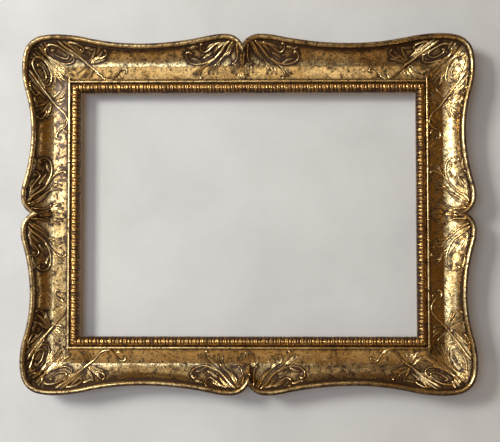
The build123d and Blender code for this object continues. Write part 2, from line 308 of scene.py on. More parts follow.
# Carved strokes of the half motifs: kind, width, height, then points as (run, t)
# At the centre a run is counted from the notch, at the corner from the sight corner
centreStrokes = (
    ("stem", 7.0, 2.6, ((15, 92), (8.5, 86), (3.4, 78), (1.6, 68), (1.0, 58), (0.8, 50))),
    ("tendril", 3.6, 1.8, ((9.5, 84), (9.0, 77), (8.2, 70), (9.8, 62), (14, 55.5), (18.5, 51))),
    ("leaf", 5.2, 2.2, ((1.4, 51), (2.2, 43), (2.6, 35), (1.2, 23.5))),
    ("leaf", 5.0, 2.0, ((3.0, 50), (5.6, 43), (6.2, 34), (3.6, 25))),
    ("leaf", 4.4, 1.7, ((4.5, 52), (9.6, 46), (11.5, 39), (10.4, 31))),
    ("leaf", 3.8, 1.5, ((6.0, 54), (12.5, 50), (16.4, 44), (18.6, 37))),
    ("tendril", 5.0, 2.4, ((21, 89), (31, 83), (38, 74), (47, 64), (58, 56), (67, 48),
                           (74, 39), (76.5, 30), (73, 24.5), (69.5, 27))),
    ("tendril", 4.4, 2.1, ((16.5, 88), (23, 80), (29, 71), (37, 62), (45, 54), (51, 47.5))),
    ("leaf", 4.2, 1.7, ((12.5, 86), (19, 80), (24, 72), (31, 64), (37, 59))),
    ("leaf", 4.2, 1.7, ((41, 57), (44.5, 50), (46, 42), (44, 35))),
    ("leaf", 3.8, 1.6, ((46, 53), (51.5, 46), (53.5, 39), (51.5, 33))),
    ("leaf", 3.6, 1.5, ((49, 50), (56, 45.5), (60, 40), (60.5, 34))),
    ("leaf", 4.0, 1.7, ((66, 50), (72.5, 45), (79, 38), (82.5, 30))),
    ("leaf", 3.6, 1.5, ((69, 46), (76, 42.5), (84, 38.5), (88, 33))),
    ("tendril", 4.2, 1.9, ((50, 62), (62, 56), (76, 52), (90, 53.5), (99, 60), (100, 68),
                           (94.5, 71.5), (90, 67.5))),
    ("leaf", 3.8, 1.6, ((72, 52.5), (80, 58), (88, 61), (93, 60))),
    ("leaf", 4.6, 1.8, ((28, 87), (37, 84), (46, 77), (52, 69))),
    ("tendril", 3.4, 1.6, ((35, 86.5), (47, 84), (58, 77), (67.5, 71.5), (74.5, 76), (74, 83),
                           (68.5, 83.5))),
    ("leaf", 3.8, 1.5, ((53, 72), (61, 68), (69, 62), (74, 60))),
    ("leaf", 3.4, 1.4, ((41, 85), (52, 83.5), (60, 80), (65, 76))),
    ("leaf", 3.4, 1.3, ((77, 80), (85, 78), (92, 76), (98, 78))),
)
cornerStrokes = (
    ("leaf", 5.6, 2.3, ((-63, 68), (-50, 55), (-36, 42), (-25, 32), (-19, 22.5))),
    ("leaf", 5.4, 2.1, ((-58, 67), (-46, 55), (-34, 46), (-24, 38.5), (-14.5, 32))),
    ("leaf", 5.0, 2.0, ((-47, 60), (-37, 52.5), (-28, 47.5), (-19, 45), (-11, 41))),
    ("leaf", 3.6, 1.6, ((-52, 57.5), (-41, 46.5), (-31, 37.5), (-26, 30.5))),
    ("tendril", 4.4, 2.1, ((-62, 79), (-61.5, 69), (-52, 60.5), (-39, 55.5), (-25, 53.5), (-14.5, 57),
                           (-13, 65), (-18.5, 69.5))),
    ("tendril", 3.6, 1.7, ((-62, 79), (-54, 83), (-42, 82), (-30, 76.5), (-22, 68.5), (-25, 62.5),
                           (-35, 63.5), (-46, 69), (-50, 74.5), (-44, 76))),
    ("leaf", 4.6, 1.8, ((-72, 80), (-69, 76), (-65, 70), (-60, 66))),
    ("leaf", 4.4, 1.7, ((-68, 84.5), (-65.5, 80), (-62.5, 75), (-59, 72))),
    ("leaf", 4.2, 1.6, ((-61, 87), (-59.5, 83), (-57.5, 78), (-55, 75.5))),
    ("tendril", 5.2, 2.3, ((-38, 88.5), (-24, 80), (-9, 70), (6, 58), (17, 49), (27, 40.5),
                           (36, 30.5), (45, 24), (55, 22.8), (62, 27.5), (66.5, 35), (72, 42),
                           (79.5, 43.5), (83, 38.5), (79.5, 35.5))),
    ("leaf", 4.6, 1.9, ((-30, 90), (-16, 80.5), (-4, 71), (7, 61))),
    ("leaf", 4.2, 1.7, ((-27, 76), (-16, 69.5), (-6, 64), (3, 59.5))),
    ("leaf", 4.2, 1.7, ((-12, 85), (-4, 77), (4, 69.5), (12, 63.5))),
    ("leaf", 4.4, 1.8, ((13, 47.5), (10, 39), (5, 31), (-1.5, 23.5))),
    ("leaf", 3.8, 1.6, ((15, 46), (14.5, 38), (11.5, 31), (7, 26))),
    ("leaf", 3.6, 1.5, ((10, 51), (3.5, 45), (-2, 38.5), (-8, 34))),
    ("leaf", 3.6, 1.5, ((20, 45.5), (21, 38), (19, 31.5), (16, 27.5))),
    ("leaf", 4.6, 1.9, ((16, 53), (25, 55), (35, 58), (45, 60.5))),
    ("leaf", 4.6, 1.9, ((15, 54.5), (24, 60), (33, 66), (41, 73.5))),
    ("leaf", 4.2, 1.7, ((14, 56.5), (20, 64), (25, 71), (29, 79))),
    ("tendril", 3.2, 1.5, ((30, 61), (38, 62.5), (46, 66.5), (48, 72), (43.5, 74))),
    ("tendril", 3.4, 1.6, ((-20, 87), (-9, 86), (1, 82.5), (6.5, 77.5), (3, 73.5), (-1, 76.5))),
    ("leaf", 3.6, 1.5, ((8, 78.5), (15, 78), (22, 75.5), (28, 76))),
    ("leaf", 3.4, 1.4, ((47, 23.5), (52, 29), (54.5, 35), (52, 40.5))),
    ("leaf", 3.2, 1.3, ((66, 34), (68, 29), (72, 26), (76.5, 25.5))),
)
carving = {
    "wobble": 0.45,
    "step": 1.2,
    "leastPoints": 12,
    "curveSteps": 16,
    "ribs": 9,
    "widen": 1.06,
    "raise": 1.4,
    "sink": 0.9,
    "edgeSink": 0.25,
    "underside": 0.6,
    "slopeStep": 0.4,
    "steepest": 1.4,
    "leafBelly": 0.8,
    "leafTaper": 0.75,
    "leafArch": 0.5,
    "rootLength": 0.06,
    "tipLength": 0.05,
    "stemTaper": 0.45,
    "stemDrop": 0.4,
    "tendrilTaper": 0.62,
    "tendrilDrop": 0.35,
    "knobPlace": 0.94,
    "knobLength": 0.05,
    "knobWidth": 0.55,
    "knobRise": 0.3,
    "crownRound": 0.75,
    "veinDepth": 0.75,
    "veinWidth": 0.26,
    "footShade": 0.85,
    "dirtShadeShare": 0.25,
}


def smoothPath(points, step):  # Catmull-Rom curve through the listed points
    points = np.array(points, float)
    ends = np.vstack([2 * points[0] - points[1], points, 2 * points[-1] - points[-2]])
    share = np.linspace(0, 1, carving["curveSteps"], endpoint=False)[:, None]
    runs = []
    for a, b, c, d in zip(ends[:-3], ends[1:-2], ends[2:-1], ends[3:]):
        curve = 2 * b + (c - a) * share + (2 * a - 5 * b + 4 * c - d) * share**2
        runs.append((curve + (3 * b - 3 * c + d - a) * share**3) / 2)
    runs.append(points[-1:])
    fine = np.vstack(runs)
    length = np.append(0, np.cumsum(np.linalg.norm(np.diff(fine, axis=0), axis=1)))
    count = max(carving["leastPoints"], int(length[-1] / step))
    even = np.linspace(0, length[-1], count)
    return np.stack([np.interp(even, length, fine[:, k]) for k in (0, 1)], axis=1)


def strokeForm(kind, share):  # half width and height along a stroke, from root to tip
    c = carving
    if kind == "leaf":
        belly = np.sin(math.pi * share ** c["leafBelly"])
        return belly ** c["leafTaper"], belly ** c["leafArch"]
    root = np.sqrt(np.minimum(1, share / c["rootLength"]))
    tip = np.sqrt(np.minimum(1, (1 - share) / c["tipLength"]))
    if kind == "stem":
        return (1 - c["stemTaper"] * share) * root * tip, (1 - c["stemDrop"] * share) * root * tip
    knob = np.exp(-(((share - c["knobPlace"]) / c["knobLength"]) ** 2)) * c["knobWidth"]
    width = 1 - c["tendrilTaper"] * share + knob
    rise = 1 - c["tendrilDrop"] * share + c["knobRise"] * knob
    return width * root * tip, rise * root * tip


def strokeSection(kind, across):  # height over a stroke's width, with a vein down each leaf
    c = carving
    crown = np.clip(1 - across**2, 0, 1) ** c["crownRound"]
    if kind == "leaf":
        return crown * (1 - c["veinDepth"] * np.exp(-((across / c["veinWidth"]) ** 2)))
    return crown


def strokePaths(side):  # every stroke of one rail, as smooth paths in rail coordinates
    rail = rails[side]
    wander = np.random.default_rng(rail["seed"])
    for strokes, isCentre in ((centreStrokes, True), (cornerStrokes, False)):
        for sign in (1, -1):
            for kind, width, height, points in strokes:
                path = np.array(points, float)
                path += wander.normal(0, carving["wobble"], path.shape)
                path = smoothPath(path, carving["step"])
                start = rail["notch"] if isCentre else sign * rail["length"] / 2
                direction = sign if isCentre else -sign
                path[:, 0] = start + direction * path[:, 0]
                yield kind, width * carving["widen"], height * carving["raise"], path


def groundNormal(side, path):  # square to the ground along a path, leaning less where it is steep
    reach, steepest = carving["slopeStep"], carving["steepest"]
    slopes = []
    for step in ((reach, 0), (0, reach)):
        ahead, behind = path + step, path - step
        fall = groundDepth(side, ahead[:, 0], ahead[:, 1]) - groundDepth(side, behind[:, 0], behind[:, 1])
        slopes.append(fall / (2 * reach))
    slopeX, slopeT = slopes[0], np.clip(slopes[1], -steepest, steepest)
    normal = np.stack([-slopeX, -slopeT, np.ones(len(path))], axis=1)
    return normal / np.linalg.norm(normal, axis=1)[:, None]


def shadedMesh():  # an empty bmesh that carries the two shading values
    mesh = bmesh.new()
    for name in ("crestWearAndHighlight", "grimeAndShade"):
        mesh.verts.layers.float.new(name)
    return mesh


def mapGrid(mesh, row, crestWearAndHighlight, grimeAndShade):  # lays a grid on rows of points and joins those that meet
    count, columns = row.shape[:2]
    layers = mesh.verts.layers.float
    made = bmesh.ops.create_grid(mesh, x_segments=count - 1, y_segments=columns - 1, size=1)["verts"]
    crestHighlightLayer, grimeShadeLayer = layers["crestWearAndHighlight"], layers["grimeAndShade"]
    for vert in made:
        i = round((vert.co.x + 1) / 2 * (count - 1))
        j = round((vert.co.y + 1) / 2 * (columns - 1))
        vert.co = row[i, j]
        vert[crestHighlightLayer] = crestWearAndHighlight[i, j]
        vert[grimeShadeLayer] = grimeAndShade[i, j]
    bmesh.ops.remove_doubles(mesh, verts=made, dist=weldGap)


def closeEnds(mesh):
    openEdges = [edge for edge in mesh.edges if edge.is_boundary]
    bmesh.ops.holes_fill(mesh, edges=openEdges, sides=0)


def addStroke(mesh, side, kind, width, height, path):  # a closed, tapered tube half sunk in the ground
    c = carving
    count, ribs = len(path), c["ribs"]
    tangent = np.gradient(path, axis=0)
    tangent /= np.linalg.norm(tangent, axis=1)[:, None]
    beside = np.stack([-tangent[:, 1], tangent[:, 0]], axis=1)
    halfWidth, rise = strokeForm(kind, np.linspace(0, 1, count))
    across = np.concatenate([np.linspace(-1, 1, ribs), (c["underside"], -c["underside"])])
    section = strokeSection(kind, across[:ribs])
    lift = np.concatenate([section * height, (-c["sink"],) * 2])
    lift[[0, ribs - 1]] = -c["edgeSink"]  # the edges sink a little into the ground
    reach = across[None, :] * halfWidth[:, None] * width / 2
    places = path[:, None, :] + beside[:, None, :] * reach[..., None]
    depth = groundDepth(side, places[..., 0].ravel(), places[..., 1].ravel()).reshape(reach.shape)
    raised = np.maximum(lift, 0)[None, :] * rise[:, None] + np.minimum(lift, 0)[None, :]
    solid = np.concatenate([places, depth[..., None]], axis=2)
    solid = solid + groundNormal(side, path)[:, None, :] * raised[..., None]
    solid[0], solid[-1] = solid[0].mean(axis=0), solid[-1].mean(axis=0)
    solid = np.concatenate([solid, solid[:, :1]], axis=1)  # the last column meets the first
    # Painted highlight along each stroke's crown and painted shade along its feet, with the rail's dirt and
    # painted shade
    crestWearAndHighlight = np.concatenate([section, (0, 0), section[:1]])
    grimeAndShade = c["footShade"] * (1 - crestWearAndHighlight) + c["dirtShadeShare"] * rails[side]["dirtAndShade"]
    row = toRow(side, solid[..., 0], solid[..., 1], solid[..., 2])
    mapGrid(mesh, row, crestWearAndHighlight[None, :] * rise[:, None], np.broadcast_to(grimeAndShade, row.shape[:2]))


def finishMesh(mesh, name, material):
    bmesh.ops.recalc_face_normals(mesh, faces=mesh.faces)
    for face in mesh.faces:
        face.smooth = True
    data = bpy.data.meshes.new(name)
    mesh.to_mesh(data)
    mesh.free()
    data.materials.append(material)
    piece = bpy.data.objects.new(name, data)
    scene.collection.objects.link(piece)
    return piece


# Dirt, burnish, painted shade and painted highlights over the moulding: shares of 0 to 1, reaches in
# millimetres
soilingAndShade = {
    "wall": (0.6, 0.55),
    "rim": 0.35,
    "rimShadingAngles": (115, 55),
    "quirk": (1.0, 1.0),
    "cove": 0.9,
    "coveReach": 2.4,
    "foot": 0.8,
    "footReach": 1.6,
    "fillet": 0.15,
    "filletSides": 0.4,
    "back": (0.8, 0.8),
    "rimShine": 0.5,
    "rimShineAngle": 125,
    "rimShineSpread": 24,
    "filletShine": 0.4,
    "halo": 0.65,
    "haloReach": 1.4,
    "dirtShadeReach": 5,
    "dirtShadeStart": (44, 54),
    "shadingChange": (44, 52),
    "strokeCore": 0.3,
    "searchReach": 7,
    "farAway": 9.0,
}


def mouldingRow(stations, number, rimShading):  # one section of the moulding, and which points are scoop
    m, s = moulding, soilingAndShade
    edge, foot = stations["edge"][number], stations["foot"][number]
    stretch, cove = stations["stretch"][number], stations["cove"][number]
    degrees = np.linspace(-m["rimOuterAngle"], 180 + m["rimInnerAngle"], m["rimPoints"])
    angles = np.radians(degrees)
    rimT = edge[1] - stretch * m["rimRadius"] * (1 - np.cos(angles))
    rimDepth = m["rimCentre"] + m["rimRadius"] * np.sin(angles)
    quirkT = cove + stretch * m["quirkWidth"] * np.array(m["quirkShares"])
    quirkDepth = coveTop - np.array([m["quirkEdge"], m["quirkDepth"]])
    outerT = m["hollowLine"] + (cove - m["hollowLine"]) * np.linspace(1, 0, m["outerPoints"])
    innerT = np.linspace(m["hollowLine"], m["filletEdge"], m["innerPoints"])[1:]
    filletT = np.linspace(m["filletEdge"], m["stripWidth"], m["filletPoints"])[1:]
    filletShare = (filletT - m["stripWidth"]) / (m["filletEdge"] - m["stripWidth"])
    bow = np.sqrt(np.clip(1 - (2 * filletShare - 1) ** 2, 0, 1))
    flat = m["filletEnd"] + (m["filletFoot"] - m["filletEnd"]) * filletShare
    filletDepth = flat + (m["filletCrown"] - (m["filletEnd"] + m["filletFoot"]) / 2) * bow
    wallT = np.array([rimT[0], rimT[0]])
    wallDepth = np.array([m["backDepth"], (m["backDepth"] + rimDepth[0]) / 2])
    backT = np.array([m["stripWidth"], rimT[0]])
    scoop = np.concatenate([outerScoop(outerT, cove), innerScoop(innerT)])
    t = np.concatenate([wallT, rimT, quirkT, outerT, innerT, filletT, backT])
    depth = np.concatenate([wallDepth, rimDepth, quirkDepth, scoop, filletDepth, (m["backDepth"],) * 2])
    x = edge[0] + (foot - edge[0]) * (edge[1] - t) / (edge[1] - m["stripWidth"])
    # Painted shade where the moulding folds in: the quirk, the cove by the rim, the fillet's foot and
    # sides; the rim's outer side is darkened more on some rails; the outer side and the back are darker
    grimeAndShade = np.concatenate([
        s["wall"],
        s["rim"] + rimShading * smoothStep(*s["rimShadingAngles"], degrees),
        s["quirk"],
        s["cove"] * np.exp(-(cove - outerT) / s["coveReach"]),
        s["foot"] * np.exp(-(innerT - m["filletEdge"]) / s["footReach"]),
        s["fillet"] + s["filletSides"] * (1 - bow),
        s["back"],
    ])
    scoopStart = len(wallT) + len(rimT) + len(quirkT)
    scoopEnd = scoopStart + len(scoop)
    isScoop = np.zeros(len(t), bool)
    isScoop[scoopStart:scoopEnd] = True
    # Painted highlights: a bright band on the inner side of the rim's round and along the fillet's crown
    rimShine = np.exp(-(((degrees - s["rimShineAngle"]) / s["rimShineSpread"]) ** 2))
    crestWearAndHighlight = np.zeros(len(t))
    crestWearAndHighlight[len(wallT):len(wallT) + len(rimT)] = s["rimShine"] * rimShine
    crestWearAndHighlight[scoopEnd:scoopEnd + len(bow)] = s["filletShine"] * bow
    return x, t, depth, grimeAndShade, crestWearAndHighlight, isScoop


def mouldingPiece(side, material, paths):
    rail, s = rails[side], soilingAndShade
    innerShading, outerShading, rimShading = rail["sideShading"]
    rows = []
    for half, sign in (("right", 1), ("left", -1)):
        numbers = range(len(rail[half]["foot"]))
        for number in numbers if sign > 0 else reversed(numbers):
            if sign < 0 and number == numbers[-1]:
                continue  # the notch row belongs to both halves
            x, t, depth, grimeAndShade, crestWearAndHighlight, isScoop = mouldingRow(rail[half], number, rimShading)
            rows.append((sign * x, t, depth, grimeAndShade, crestWearAndHighlight))
    x, t, depth, grimeAndShade, crestWearAndHighlight = (np.array(part) for part in zip(*rows))
    depth = depth + groundSwell(side, x, t) * isScoop[None, :] * smoothStep(*ground["swellStart"], t)
    near = np.full(x.shape, s["farAway"])
    for kind, width, height, path in paths:
        low, high = path.min(axis=0) - s["searchReach"], path.max(axis=0) + s["searchReach"]
        box = (x > low[0]) & (x < high[0]) & (t > low[1]) & (t < high[1])
        spots = np.stack([x[box], t[box]], axis=1)
        if len(spots):
            gap = np.linalg.norm(spots[:, None, :] - path[None, :, :], axis=2).min(axis=1)
            near[box] = np.minimum(near[box], np.maximum(0, gap - width * s["strokeCore"]))
    # Painted shade in a narrow ring round each stroke, and the rail's dirt with painted shade lying wide
    # round the carving on the outer scoop
    halo = s["halo"] * np.exp(-((near / s["haloReach"]) ** 2))
    halo = halo + rail["dirtAndShade"] * np.exp(-((near / s["dirtShadeReach"]) ** 2)) * smoothStep(*s["dirtShadeStart"], t)
    grimeAndShade = np.maximum(grimeAndShade, halo * isScoop[None, :])
    # Painted shade on the scoop set rail by rail, painted light where it is below nought, the inner part
    # growing along the rail
    innerShading = innerShading + rail["shadeDrift"] * x / (rail["length"] / 2)
    sideShading = innerShading + (outerShading - innerShading) * smoothStep(*s["shadingChange"], t)
    grimeAndShade = grimeAndShade + sideShading * isScoop[None, :]
    mesh = shadedMesh()
    mapGrid(mesh, toRow(side, x, t, depth), crestWearAndHighlight, grimeAndShade)
    closeEnds(mesh)
    piece = finishMesh(mesh, "gilded_moulding_" + side, material)
    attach(piece, "frame")
    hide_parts("moulding_" + side)


def carvingPiece(side, material, paths):
    mesh = shadedMesh()
    for kind, width, height, path in paths:
        addStroke(mesh, side, kind, width, height, path)
    piece = finishMesh(mesh, "carved_foliage_" + side, material)
    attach(piece, "frame")
    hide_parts("moulding_" + side)


# Sight strip with its row of leaf tips and a line of pearls
leafRow = {
    "lipBack": 21.0,
    "lipFront": 25.0,
    "crownT": 15.0,
    "crown": 32.0,
    "shoulder": 31.0,
    "ledgeEnd": 7.7,
    "backDepth": 20.0,
    "lipPlaces": (0.0, 0.15, 0.5, 1.1),
    "arcStart": 2.0,
    "arcPoints": 17,
    "carvedStart": (0, 0.5),
    "carvedEnd": (14.6, 15.0),
    "mitreGap": 1.0,
    "pitch": 6.8,
    "rowsPerLeaf": 10,
    "leafHeight": 0.9,
    "smallLeaf": 0.62,
    "leafEnd": (12.8, 14.2),
    "tipStart": 0.2,
    "tipLength": 6.5,
    "tipRound": 0.6,
    "leafSpread": (0.98, 0.02),
    "leafOverlap": 0.12,
    "leafEdge": 0.35,
    "dartDepth": 0.72,
    "veinDepth": 0.5,
    "veinWidth": 0.16,
    "veinStart": (2, 4),
    "pearlPitch": 3.4,
    "pearlHeight": 0.18,
    "pearlSink": 0.35,
    "pearlRound": 0.6,
    "pearlLine": 14.3,
    "pearlWidth": 0.8,
    "lipShade": (1.5, 8),
    "plainGrime": 0.55,
    "dartShade": 0.6,
    "veinShade": 0.35,
    "pearlShade": 0.3,
    "lipShadeShare": 0.35,
    "leafShine": 0.7,
    "pearlShine": 0.1,
    "lipDulling": 0.8,
}


def leafRelief(x, t):  # height, painted shade and painted highlight of the leaf tips
    r = leafRow
    place = x / r["pitch"] + 0.5
    number = np.floor(place)
    phase = np.abs(place - number - 0.5) * 2  # 0 on a leaf's midrib, 1 in the dart between two leaves
    big = np.where(number % 2 == 0, 1.0, r["smallLeaf"])
    widening = np.clip((t - r["tipStart"]) / r["tipLength"], 0, 1) ** r["tipRound"]  # from the tips
    gain, least = r["leafSpread"]
    inside = smoothStep(0.0, r["leafEdge"], widening * (gain * big + least) - phase + r["leafOverlap"])
    vein = np.exp(-((phase / r["veinWidth"]) ** 2)) * smoothStep(*r["veinStart"], t)
    fade = 1 - smoothStep(*r["leafEnd"], t)
    pearl = np.abs(np.sin(math.pi * x / r["pearlPitch"])) ** r["pearlRound"]
    line = np.exp(-(((t - r["pearlLine"]) / r["pearlWidth"]) ** 2))
    lip = 1 - smoothStep(*r["lipShade"], t)  # the edge by the opening is darkest
    leaf = r["leafHeight"] * big * inside * (1 - r["veinDepth"] * vein)
    height = (leaf - r["dartDepth"] * (1 - inside)) * fade
    height = height + r["pearlHeight"] * (pearl - r["pearlSink"]) * line
    # Painted shade in the darts, the veins, between the pearls and by the lip; painted highlight on the
    # leaves and pearls, dulled by the lip
    grimeAndShade = (r["dartShade"] * (1 - inside) + r["veinShade"] * vein) * fade
    grimeAndShade = grimeAndShade + r["pearlShade"] * (1 - pearl) * line + r["lipShadeShare"] * lip
    crestWearAndHighlight = r["leafShine"] * inside * fade * (1 - vein) * big * (1 - r["lipDulling"] * lip)
    crestWearAndHighlight = crestWearAndHighlight + r["pearlShine"] * pearl * line
    return height, np.clip(grimeAndShade, 0, 1), crestWearAndHighlight


def leafStrip(side, material):
    r = leafRow
    length = rails[side]["length"]
    run, rise = r["crownT"], r["crown"] - r["lipFront"]
    radius = (run**2 + rise**2) / (2 * run)  # the strip rises square from its lip
    arcT = np.concatenate([r["lipPlaces"], np.linspace(r["arcStart"], r["crownT"], r["arcPoints"])])
    arc = r["lipFront"] + np.sqrt(np.clip(radius**2 - (arcT - radius) ** 2, 0, None))
    onArc = slice(1, 1 + len(arcT))
    strip, ledge, back, lip = moulding["stripWidth"], r["ledgeEnd"], r["backDepth"], r["lipBack"]
    t = np.concatenate([(0.0,), arcT, (strip, strip, ledge, ledge, 0.0)])
    depth = np.concatenate([(lip,), arc, (r["shoulder"], back, back, lip, lip)])
    count = int(length / r["pitch"]) * r["rowsPerLeaf"]
    share = np.linspace(-1, 1, count + 1)
    x = share[:, None] * (length / 2 + t)[None, :]
    tGrid = np.broadcast_to(t, x.shape)
    carved = np.zeros(len(t))
    carved[onArc] = smoothStep(*r["carvedStart"], arcT) * (1 - smoothStep(*r["carvedEnd"], arcT))
    height, grimeAndShade, crestWearAndHighlight = leafRelief(x, tGrid)
    mitreFade = smoothStep(0, r["mitreGap"], length / 2 + tGrid - np.abs(x))
    bulge = height * carved[None, :] * mitreFade
    slope = np.gradient(arc, arcT)
    lean, upright = np.zeros(len(t)), np.ones(len(t))  # the leaves stand square to the arc
    lean[onArc] = -slope / np.sqrt(1 + slope**2)
    upright[onArc] = 1 / np.sqrt(1 + slope**2)
    leafT = np.maximum(tGrid + bulge * lean[None, :], 0)
    row = toRow(side, x, leafT, depth[None, :] + bulge * upright[None, :])
    mesh = shadedMesh()
    mapGrid(mesh, row, crestWearAndHighlight * carved, np.maximum(grimeAndShade * carved, r["plainGrime"] * (1 - carved)))
    closeEnds(mesh)
    piece = finishMesh(mesh, "leaf_strip_" + side, material)
    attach(piece, "frame")
    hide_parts("sight_strip_" + side)


# Materials
def newMaterial(name):
    material = bpy.data.materials.new(name)
    material.use_nodes = True
    tree = material.node_tree
    coords = tree.nodes.new("ShaderNodeTexCoord").outputs["Object"]
    return material, tree, tree.nodes["Principled BSDF"], coords


def addNode(tree, kind, links=(), **values):
    node = tree.nodes.new(kind)
    for name, value in values.items():
        setattr(node, name, value)
    for socket, source in links:
        if hasattr(source, "is_output"):
            tree.links.new(source, node.inputs[socket])
        else:
            node.inputs[socket].default_value = source
    return node


def noise(tree, coords, scale, detail, roughness, distortion=0.0):
    links = (
        ("Vector", coords),
        ("Scale", scale),
        ("Detail", detail),
        ("Roughness", roughness),
        ("Distortion", distortion),
    )
    return addNode(tree, "ShaderNodeTexNoise", links).outputs["Fac"]


def spread(tree, source, low, high, outLow=0.0, outHigh=1.0):
    links = (
        ("Value", source),
        ("From Min", low),
        ("From Max", high),
        ("To Min", outLow),
        ("To Max", outHigh),
    )
    return addNode(tree, "ShaderNodeMapRange", links, clamp=True).outputs["Result"]


def maths(tree, operation, first, second, clamp=False):
    links = ((0, first), (1, second))
    return addNode(tree, "ShaderNodeMath", links, operation=operation, use_clamp=clamp).outputs[0]


def addShare(tree, total, source, share):
    return maths(tree, "ADD", total, maths(tree, "MULTIPLY", source, share))


def mixColour(tree, share, first, second):
    node = addNode(tree, "ShaderNodeMix", (("Factor", share),), data_type="RGBA")
    for socket, source in (("A", first), ("B", second)):
        target = [item for item in node.inputs if item.name == socket and item.type == "RGBA"][0]
        if hasattr(source, "is_output"):
            tree.links.new(source, target)
        else:
            target.default_value = (*source, 1)
    return [item for item in node.outputs if item.type == "RGBA"][0]


def attribute(tree, name):
    return addNode(tree, "ShaderNodeAttribute", attribute_name=name).outputs["Fac"]


def addBump(tree, shader, height, strength, distance):
    links = (("Height", height), ("Strength", strength), ("Distance", distance))
    bump = addNode(tree, "ShaderNodeBump", links)
    tree.links.new(bump.outputs["Normal"], shader.inputs["Normal"])


# Patterns give a noise's scale, detail, roughness and distortion
# Ranges give where a pattern starts and ends, then what it comes to there
gilding = {
    "paleGold": (0.84, 0.59, 0.245),
    "deepGold": (0.495, 0.272, 0.062),
    # The next colour is painted highlight on the crests, and partly real burnish
    "burnishAndHighlight": (0.89, 0.645, 0.285),
    "umber": (0.045, 0.021, 0.008),
    "redClay": (0.125, 0.052, 0.017),
    "cloudPattern": (14.0, 3.0, 0.6),
    "cloudRange": (0.42, 0.74),
    "blotchPattern": (85.0, 5.0, 0.65, 0.4),
    "blotchRange": (0.47, 0.70),
    "blotchSoil": 0.75,
    "fleckPattern": (290.0, 3.0, 0.6),
    "fleckRange": (0.56, 0.63),
    "fleckSoil": 0.8,
    "streakPattern": (190.0, 4.0, 0.7),
    "streakRange": (0.55, 0.70),
    "streakSoil": 0.35,
    "rubPattern": (60.0, 4.0, 0.7),
    "rubRange": (0.62, 0.72, 0.0, 0.45),
    "scratchPitch": 150.0,
    "scratchLean": (1.0, 0.4, -0.8),
    "scratchWaver": 3.5,
    "scratchDetail": 3.0,
    "scratchRange": (0.72, 0.95),
    "breakPattern": (120.0, 3.0, 0.6),
    "breakRange": (0.42, 0.62),
    "scratchSoil": 0.45,
    "scratchDepth": 0.5,
    "grimeShadeGain": 1.15,
    "crestShine": 0.7,
    "crestClean": 0.6,
    "metalRange": (0.55, 1.0, 1.0, 0.35),
    "roughRange": (0.3, 0.7, 0.13, 0.26),
    "soiledRoughness": 0.2,
    "wrinklePattern": (310.0, 4.0, 0.65),
    "wrinkleStrength": 0.5,
    "wrinkleHeight": 0.0006,
    "varnish": 0.3,
    "varnishRange": (0.1, 0.8),
    "soiledVarnish": 0.04,
    "varnishRoughness": 0.13,
    "specular": 0.2,
}
tonedGilding = {
    **gilding,
    "paleGold": (0.575, 0.315, 0.09),
    "deepGold": (0.335, 0.155, 0.037),
    "burnishAndHighlight": (0.585, 0.335, 0.098),
    "redClay": (0.17, 0.063, 0.02),
    "blotchSoil": 1.1,
    "grimeShadeGain": 1.1,
    "varnish": 0.12,
}


def scratches(tree, coords, crestWearAndHighlight, s):  # up to the right over the plain ground, broken by a noise
    leaning = addNode(tree, "ShaderNodeMapping", (("Vector", coords), ("Scale", s["scratchLean"])))
    links = (
        ("Vector", leaning.outputs["Vector"]),
        ("Scale", s["scratchPitch"]),
        ("Distortion", s["scratchWaver"]),
        ("Detail", s["scratchDetail"]),
    )
    wave = addNode(tree, "ShaderNodeTexWave", links, bands_direction="DIAGONAL").outputs["Fac"]
    broken = spread(tree, noise(tree, coords, *s["breakPattern"]), *s["breakRange"])
    scratch = maths(tree, "MULTIPLY", spread(tree, wave, *s["scratchRange"]), broken)
    plain = maths(tree, "SUBTRACT", 1.0, crestWearAndHighlight, clamp=True)
    return maths(tree, "MULTIPLY", scratch, plain)


